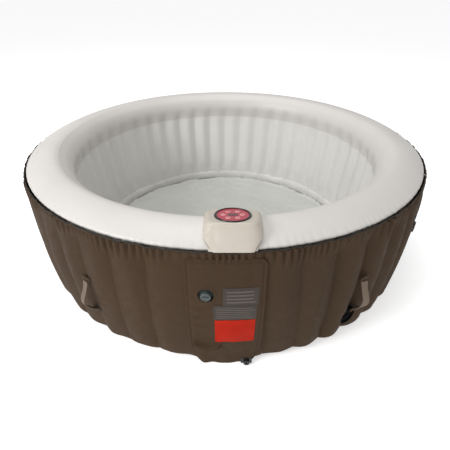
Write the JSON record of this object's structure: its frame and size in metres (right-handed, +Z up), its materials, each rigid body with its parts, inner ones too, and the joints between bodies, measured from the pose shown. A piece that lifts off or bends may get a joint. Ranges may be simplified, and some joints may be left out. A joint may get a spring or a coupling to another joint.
{
  "type": "inflatable hot tub",
  "caption": "Round inflatable spa tub with I-beam air walls, a padded rim, a fabric skirt with carry handles and a control head astride the rim.",
  "frame": {"origin": "centre of the base on the ground", "axes": "+Z up, -Y towards the control head (front), +X to the right seen from the front"},
  "size_m": [2.0775, 2.0929, 0.694],
  "materials": {
    "white_vinyl": "satin",
    "grey_vinyl": "satin",
    "brown_cover": "matte",
    "brown_webbing": "matte",
    "black_webbing": "matte",
    "dark_cord": "matte",
    "black_plastic": "satin",
    "grey_plastic": "satin",
    "cream_plastic": "satin",
    "keypad_black": "gloss",
    "keypad_red": "gloss",
    "button_pink": "satin",
    "display_dark": "gloss",
    "label_grey": "satin",
    "label_red": "satin",
    "steel": "satin",
    "motor_paint": "satin",
    "white_plastic": "satin",
    "flap_rubber": "matte",
    "filter_paper": "matte",
    "board_green": "satin"
  },
  "bodies": {
    "tub": {"air_valve_body": "grey_plastic", "base_sheet": "grey_vinyl", "blower_housing": "white_plastic", "blower_motor": "motor_paint", "bubble_ring": "white_vinyl", "case_screws": "steel", "check_valve_body": "white_plastic", "circulation_motor": "motor_paint", "circulation_volute": "white_plastic", "control_board": "board_green", "cord_gland": "black_plastic", "cover_pump_panel": "brown_cover", "cover_skirt": "brown_cover", "display_lens": "display_dark", "drain_inlet_pipe": "black_plastic", "drain_port_ring": "black_plastic", "drain_valve_body": "black_plastic", "filter_base": "white_plastic", "filter_cap": "white_plastic", "filter_cartridge": "filter_paper", "floor_sheet": "white_vinyl", "handle_end_tabs": "black_webbing", "head_saddle": "cream_plastic", "head_shell": "cream_plastic", "heater_tube": "steel", "hem_cord": "dark_cord", "i_beam_webs": "grey_vinyl", "keypad_bezel": "keypad_black", "keypad_board": "board_green", "keypad_face": "keypad_red", "label_red": "label_red", "labels_grey": "label_grey", "lid_strap_tabs": "black_webbing", "pump_bay_liner": "grey_vinyl", "pump_case_back": "white_plastic", "pump_case_front": "white_plastic", "pump_unit_pipes": "white_plastic", "return_nozzle": "white_plastic", "rim_skin": "white_vinyl", "wall_bottom_ring": "grey_vinyl", "wall_inner_skin": "white_vinyl", "wall_outer_skin": "grey_vinyl"},
    "button_heater": {"button_heater": "button_pink"},
    "button_bubbles": {"button_bubbles": "button_pink"},
    "button_filter": {"button_filter": "button_pink"},
    "button_power": {"button_power": "button_pink"},
    "button_cooler": {"button_cooler": "button_pink"},
    "button_warmer": {"button_warmer": "button_pink"},
    "handle_front_left": {"handle_strap_front_left": "brown_webbing"},
    "handle_front_right": {"handle_strap_front_right": "brown_webbing"},
    "handle_back_left": {"handle_strap_back_left": "brown_webbing"},
    "handle_back_right": {"handle_strap_back_right": "brown_webbing"},
    "buckle_right": {"lid_buckle_right": "black_plastic"},
    "buckle_back": {"lid_buckle_back": "black_plastic"},
    "buckle_left": {"lid_buckle_left": "black_plastic"},
    "drain_cap": {"drain_cap": "black_plastic"},
    "air_valve_cap": {"air_valve_cap": "grey_plastic"},
    "impeller": {"circulation_impeller": "white_plastic"},
    "fan": {"blower_fan": "white_plastic"},
    "check_flap": {"check_valve_flap": "flap_rubber"}
  },
  "joints": [
    {"name": "button_heater_press", "type": "slide", "parent": "tub", "child": "button_heater", "axis": [0, -0.1734, -0.9849], "range_m": [0, 0.001], "stiffness_N_per_m": 1500, "springref_m": -0.0005},
    {"name": "button_bubbles_press", "type": "slide", "parent": "tub", "child": "button_bubbles", "axis": [0, -0.1734, -0.9849], "range_m": [0, 0.001], "stiffness_N_per_m": 1500, "springref_m": -0.0005},
    {"name": "button_filter_press", "type": "slide", "parent": "tub", "child": "button_filter", "axis": [0, -0.1734, -0.9849], "range_m": [0, 0.001], "stiffness_N_per_m": 1500, "springref_m": -0.0005},
    {"name": "button_power_press", "type": "slide", "parent": "tub", "child": "button_power", "axis": [0, -0.1734, -0.9849], "range_m": [0, 0.001], "stiffness_N_per_m": 1500, "springref_m": -0.0005},
    {"name": "button_cooler_press", "type": "slide", "parent": "tub", "child": "button_cooler", "axis": [0, -0.1734, -0.9849], "range_m": [0, 0.001], "stiffness_N_per_m": 1500, "springref_m": -0.0005},
    {"name": "button_warmer_press", "type": "slide", "parent": "tub", "child": "button_warmer", "axis": [0, -0.1734, -0.9849], "range_m": [0, 0.001], "stiffness_N_per_m": 1500, "springref_m": -0.0005},
    {"name": "handle_front_left_swing", "type": "hinge", "parent": "tub", "child": "handle_front_left", "pos_m": [-0.56652, -0.88245, 0.26], "axis": [0, 0, 1], "range_deg": [-14, 14]},
    {"name": "handle_front_right_swing", "type": "hinge", "parent": "tub", "child": "handle_front_right", "pos_m": [0.56652, -0.88245, 0.26], "axis": [0, 0, 1], "range_deg": [-14, 14]},
    {"name": "handle_back_left_swing", "type": "hinge", "parent": "tub", "child": "handle_back_left", "pos_m": [-0.56652, 0.88245, 0.26], "axis": [0, 0, 1], "range_deg": [-14, 14]},
    {"name": "handle_back_right_swing", "type": "hinge", "parent": "tub", "child": "handle_back_right", "pos_m": [0.56652, 0.88245, 0.26], "axis": [0, 0, 1], "range_deg": [-14, 14]},
    {"name": "buckle_right_swing", "type": "hinge", "parent": "tub", "child": "buckle_right", "pos_m": [0.89485, -0.53768, 0.398], "axis": [-0.515, -0.8572, 0], "range_deg": [0, 100]},
    {"name": "buckle_back_swing", "type": "hinge", "parent": "tub", "child": "buckle_back", "pos_m": [0.01822, 1.0438, 0.398], "axis": [0.9998, -0.0175, 0], "range_deg": [0, 100]},
    {"name": "buckle_left_swing", "type": "hinge", "parent": "tub", "child": "buckle_left", "pos_m": [-1.01295, -0.25256, 0.398], "axis": [-0.2419, 0.9703, 0], "range_deg": [0, 100]},
    {"name": "drain_cap_turn", "type": "hinge", "parent": "tub", "child": "drain_cap", "pos_m": [0.51504, -0.85717, 0.143], "axis": [0.515, -0.8572, 0], "range_deg": [0, 270]},
    {"name": "air_valve_cap_turn", "type": "hinge", "parent": "tub", "child": "air_valve_cap", "pos_m": [-0.06627, -0.9978, 0.414], "axis": [-0.0663, -0.9978, 0], "range_deg": [0, 270]},
    {"name": "impeller_spin", "type": "hinge", "parent": "tub", "child": "impeller", "pos_m": [-0.04, -0.93, 0.12], "axis": [0, 1, 0], "continuous": true},
    {"name": "fan_spin", "type": "hinge", "parent": "tub", "child": "fan", "pos_m": [-0.045, -0.92, 0.44], "axis": [0, 1, 0], "continuous": true},
    {"name": "check_flap_lift", "type": "hinge", "parent": "tub", "child": "check_flap", "pos_m": [-0.088, -0.86, 0.3534], "axis": [-1, 0, 0], "range_deg": [0, 60]}
  ]
}
